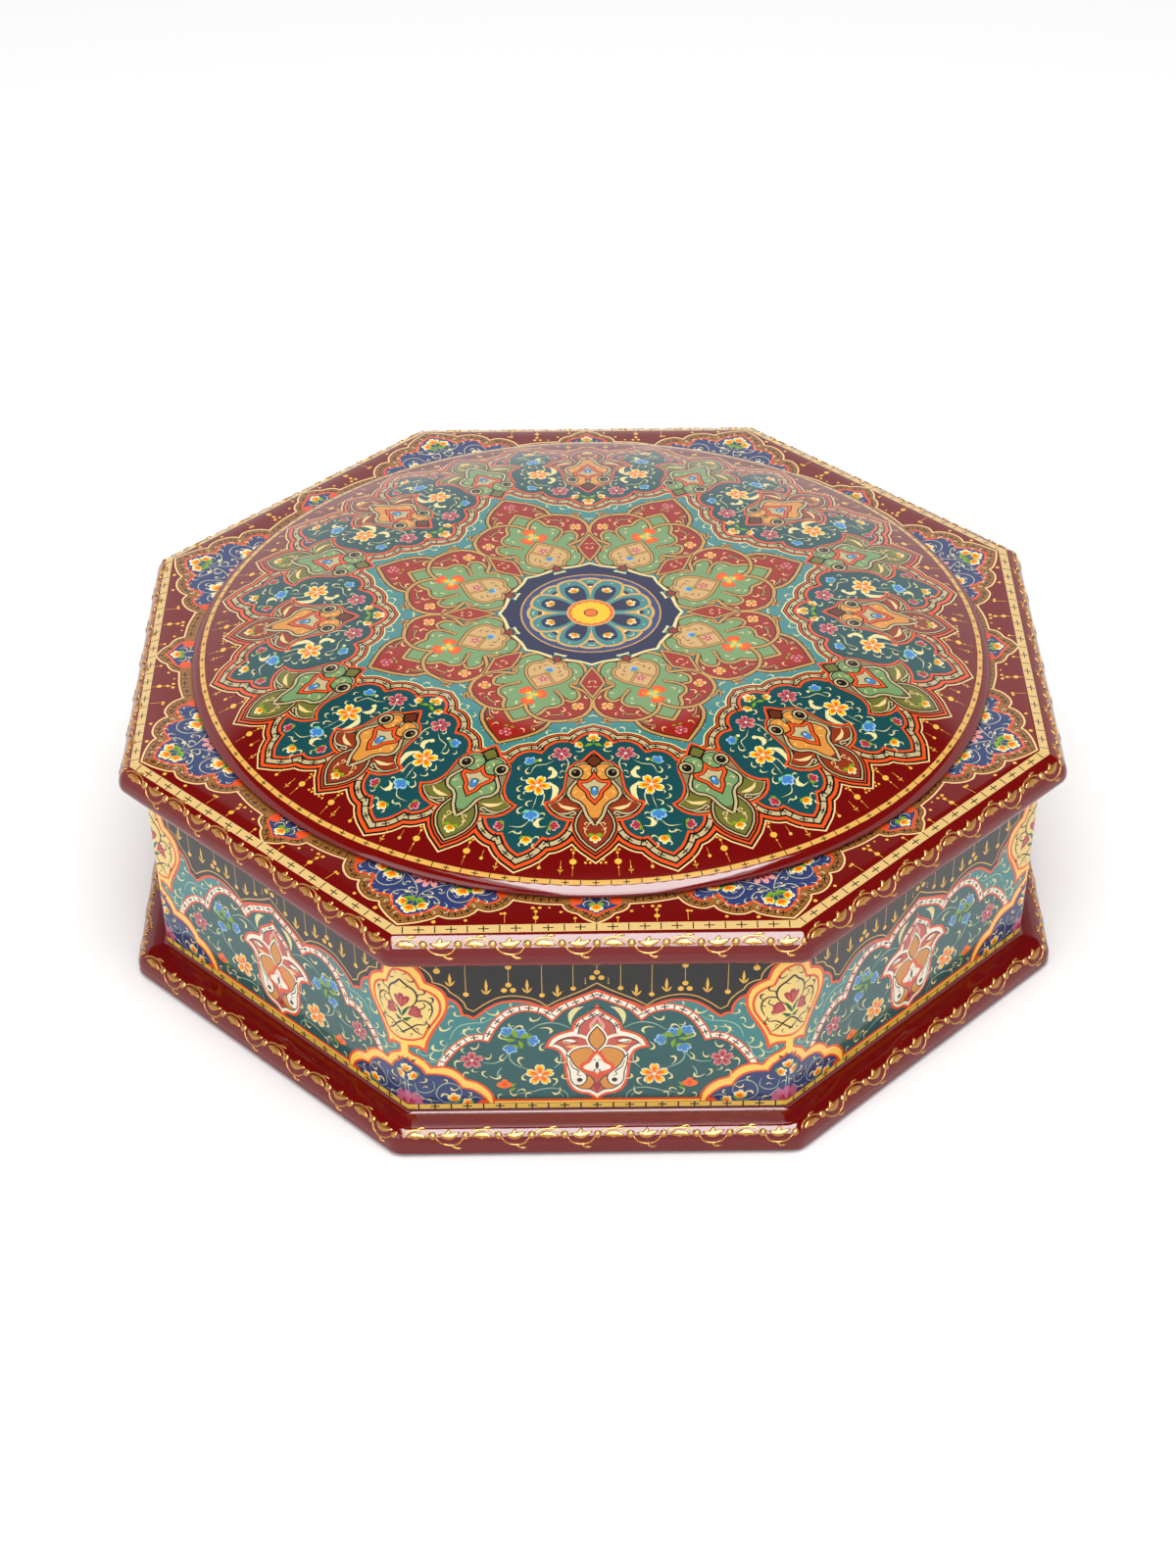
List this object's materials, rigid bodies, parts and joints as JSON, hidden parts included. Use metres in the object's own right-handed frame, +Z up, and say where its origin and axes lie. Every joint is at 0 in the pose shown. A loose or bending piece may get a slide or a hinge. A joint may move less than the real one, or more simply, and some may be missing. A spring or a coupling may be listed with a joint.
{
  "type": "lidded octagonal box",
  "caption": "Low octagonal lacquered papier mache box with a plinth, upright painted panels, and a lift-off lid that carries a raised round dome.",
  "frame": {"origin": "centre of the underside, on the surface that the box stands on", "axes": "+Z up; -Y is the side panel that faces the viewer, +X is to its right; the eight panels face +-X, +-Y and the diagonals"},
  "size_m": [0.281, 0.281, 0.0936],
  "materials": {
    "red_lacquer": "gloss",
    "painted_lacquer": "gloss",
    "plain_lacquer": "gloss",
    "velvet": "matte",
    "underside_felt": "matte"
  },
  "bodies": {
    "box": {"base_felt": "underside_felt", "plinth_board": "red_lacquer", "floor_card": "velvet", "wall_right": "painted_lacquer", "wall_back_right": "painted_lacquer", "wall_back": "painted_lacquer", "wall_back_left": "painted_lacquer", "wall_left": "painted_lacquer", "wall_front_left": "painted_lacquer", "wall_front": "painted_lacquer", "wall_front_right": "painted_lacquer", "card_right": "velvet", "card_back_right": "velvet", "card_back": "velvet", "card_back_left": "velvet", "card_left": "velvet", "card_front_left": "velvet", "card_front": "velvet", "card_front_right": "velvet"},
    "lid": {"lid_board": "red_lacquer", "lid_dome": "painted_lacquer", "lid_card": "velvet", "lip_right": "plain_lacquer", "lip_back_right": "plain_lacquer", "lip_back": "plain_lacquer", "lip_back_left": "plain_lacquer", "lip_left": "plain_lacquer", "lip_front_left": "plain_lacquer", "lip_front": "plain_lacquer", "lip_front_right": "plain_lacquer"}
  },
  "joints": [
    {"name": "lid_lift", "type": "slide", "parent": "box", "child": "lid", "axis": [0, 0, 1], "range_m": [0, 0.12]}
  ]
}
